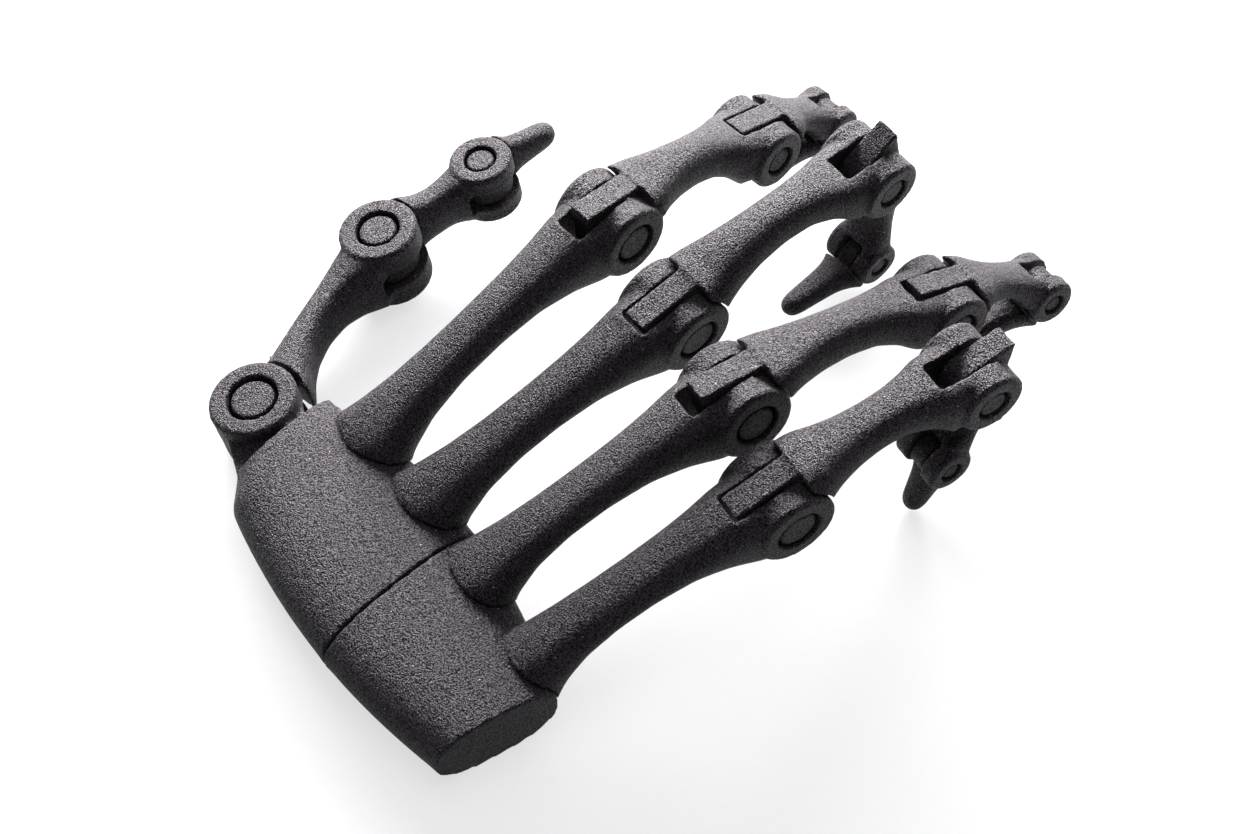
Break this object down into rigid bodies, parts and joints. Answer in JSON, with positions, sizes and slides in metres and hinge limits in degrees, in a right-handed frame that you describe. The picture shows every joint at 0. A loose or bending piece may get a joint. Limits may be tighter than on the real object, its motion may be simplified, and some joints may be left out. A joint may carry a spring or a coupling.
{
  "type": "prosthetic hand",
  "caption": "Skeletal right hand of printed nylon bones: a split carpal block, four palm bones, hinged fingers and a thumb on plain pins, with one thumb bracket.",
  "frame": {"origin": "on the table, under the middle of the whole hand's box", "axes": "+Z to the back of the hand, +Y from the wrist towards the fingertips, +X from the thumb side towards the little finger"},
  "size_m": [0.131, 0.1692, 0.0488],
  "materials": {
    "nylon": "matte, sandy grain of laser-sintered powder"
  },
  "bodies": {
    "palm": {"carpal_radial_block": "nylon", "carpal_ulnar_block": "nylon", "index_metacarpal": "nylon", "middle_metacarpal": "nylon", "ring_metacarpal": "nylon", "little_metacarpal": "nylon"},
    "index_proximal": {"index_proximal_phalanx": "nylon", "index_knuckle_pin": "nylon"},
    "index_middle": {"index_middle_phalanx": "nylon", "index_middle_pin": "nylon"},
    "index_distal": {"index_distal_phalanx": "nylon", "index_end_pin": "nylon"},
    "middle_proximal": {"middle_proximal_phalanx": "nylon", "middle_knuckle_pin": "nylon"},
    "middle_middle": {"middle_middle_phalanx": "nylon", "middle_middle_pin": "nylon"},
    "middle_distal": {"middle_distal_phalanx": "nylon", "middle_end_pin": "nylon"},
    "ring_proximal": {"ring_proximal_phalanx": "nylon", "ring_knuckle_pin": "nylon"},
    "ring_middle": {"ring_middle_phalanx": "nylon", "ring_middle_pin": "nylon"},
    "ring_distal": {"ring_distal_phalanx": "nylon", "ring_end_pin": "nylon"},
    "little_proximal": {"little_proximal_phalanx": "nylon", "little_knuckle_pin": "nylon"},
    "little_middle": {"little_middle_phalanx": "nylon", "little_middle_pin": "nylon"},
    "little_distal": {"little_distal_phalanx": "nylon", "little_end_pin": "nylon"},
    "thumb_palm": {"thumb_metacarpal": "nylon", "thumb_root_pin": "nylon"},
    "thumb_proximal": {"thumb_proximal_phalanx": "nylon", "thumb_knuckle_pin": "nylon"},
    "thumb_distal": {"thumb_distal_phalanx": "nylon", "thumb_end_pin": "nylon"}
  },
  "joints": [
    {"name": "index_knuckle", "type": "hinge", "parent": "palm", "child": "index_proximal", "pos_m": [-0.01882, 0.01099, 0.0338], "axis": [-0.9951, -0.0982, -0.0083], "range_deg": [-19, 59.5]},
    {"name": "index_middle", "type": "hinge", "parent": "index_proximal", "child": "index_middle", "pos_m": [-0.02294, 0.0533, 0.02669], "axis": [-0.9951, -0.0982, -0.0083], "range_deg": [-0.5, 87]},
    {"name": "index_end", "type": "hinge", "parent": "index_middle", "child": "index_distal", "pos_m": [-0.02513, 0.0763, 0.01712], "axis": [-0.9951, -0.0982, -0.0083], "range_deg": [-149.5, 2]},
    {"name": "middle_knuckle", "type": "hinge", "parent": "palm", "child": "middle_proximal", "pos_m": [0.00638, 0.00759, 0.0318], "axis": [-0.9982, -0.0324, 0.0496], "range_deg": [-1.5, 77]},
    {"name": "middle_middle", "type": "hinge", "parent": "middle_proximal", "child": "middle_middle", "pos_m": [0.00505, 0.05902, 0.03868], "axis": [-0.9982, -0.0324, 0.0496], "range_deg": [-76.8, 28.7]},
    {"name": "middle_end", "type": "hinge", "parent": "middle_middle", "child": "middle_distal", "pos_m": [0.00339, 0.06344, 0.00814], "axis": [-0.9982, -0.0324, 0.0496], "range_deg": [-91.5, 8]},
    {"name": "ring_knuckle", "type": "hinge", "parent": "palm", "child": "ring_proximal", "pos_m": [0.03088, 0.00269, 0.0344], "axis": [-0.9908, 0.0951, -0.0967], "range_deg": [-16.8, 61.7]},
    {"name": "ring_middle", "type": "hinge", "parent": "ring_proximal", "child": "ring_middle", "pos_m": [0.03588, 0.05142, 0.03109], "axis": [-0.9908, 0.0951, -0.0967], "range_deg": [-6, 81.5]},
    {"name": "ring_end", "type": "hinge", "parent": "ring_middle", "child": "ring_distal", "pos_m": [0.0395, 0.07801, 0.02009], "axis": [-0.9908, 0.0951, -0.0967], "range_deg": [-146.5, 5]},
    {"name": "little_knuckle", "type": "hinge", "parent": "palm", "child": "little_proximal", "pos_m": [0.05158, -0.00391, 0.0305], "axis": [-0.9932, 0.1164, -0.0081], "range_deg": [-0.6, 77.9]},
    {"name": "little_middle", "type": "hinge", "parent": "little_proximal", "child": "little_middle", "pos_m": [0.05654, 0.0391, 0.03939], "axis": [-0.9932, 0.1164, -0.0081], "range_deg": [-102, 3.5]},
    {"name": "little_end", "type": "hinge", "parent": "little_middle", "child": "little_distal", "pos_m": [0.05615, 0.03425, 0.01814], "axis": [-0.9932, 0.1164, -0.0081], "range_deg": [-0.5, 81]},
    {"name": "thumb_root", "type": "hinge", "parent": "palm", "child": "thumb_palm", "pos_m": [-0.03742, -0.06361, 0.0071], "axis": [0.097, 0.127, -0.9871], "range_deg": [-32, 10]},
    {"name": "thumb_knuckle", "type": "hinge", "parent": "thumb_palm", "child": "thumb_proximal", "pos_m": [-0.05617, -0.02023, 0.01084], "axis": [0.097, 0.127, -0.9871], "range_deg": [-16, 55]},
    {"name": "thumb_end", "type": "hinge", "parent": "thumb_proximal", "child": "thumb_distal", "pos_m": [-0.05783, 0.00741, 0.01423], "axis": [0.097, 0.127, -0.9871], "range_deg": [-4, 79]}
  ]
}
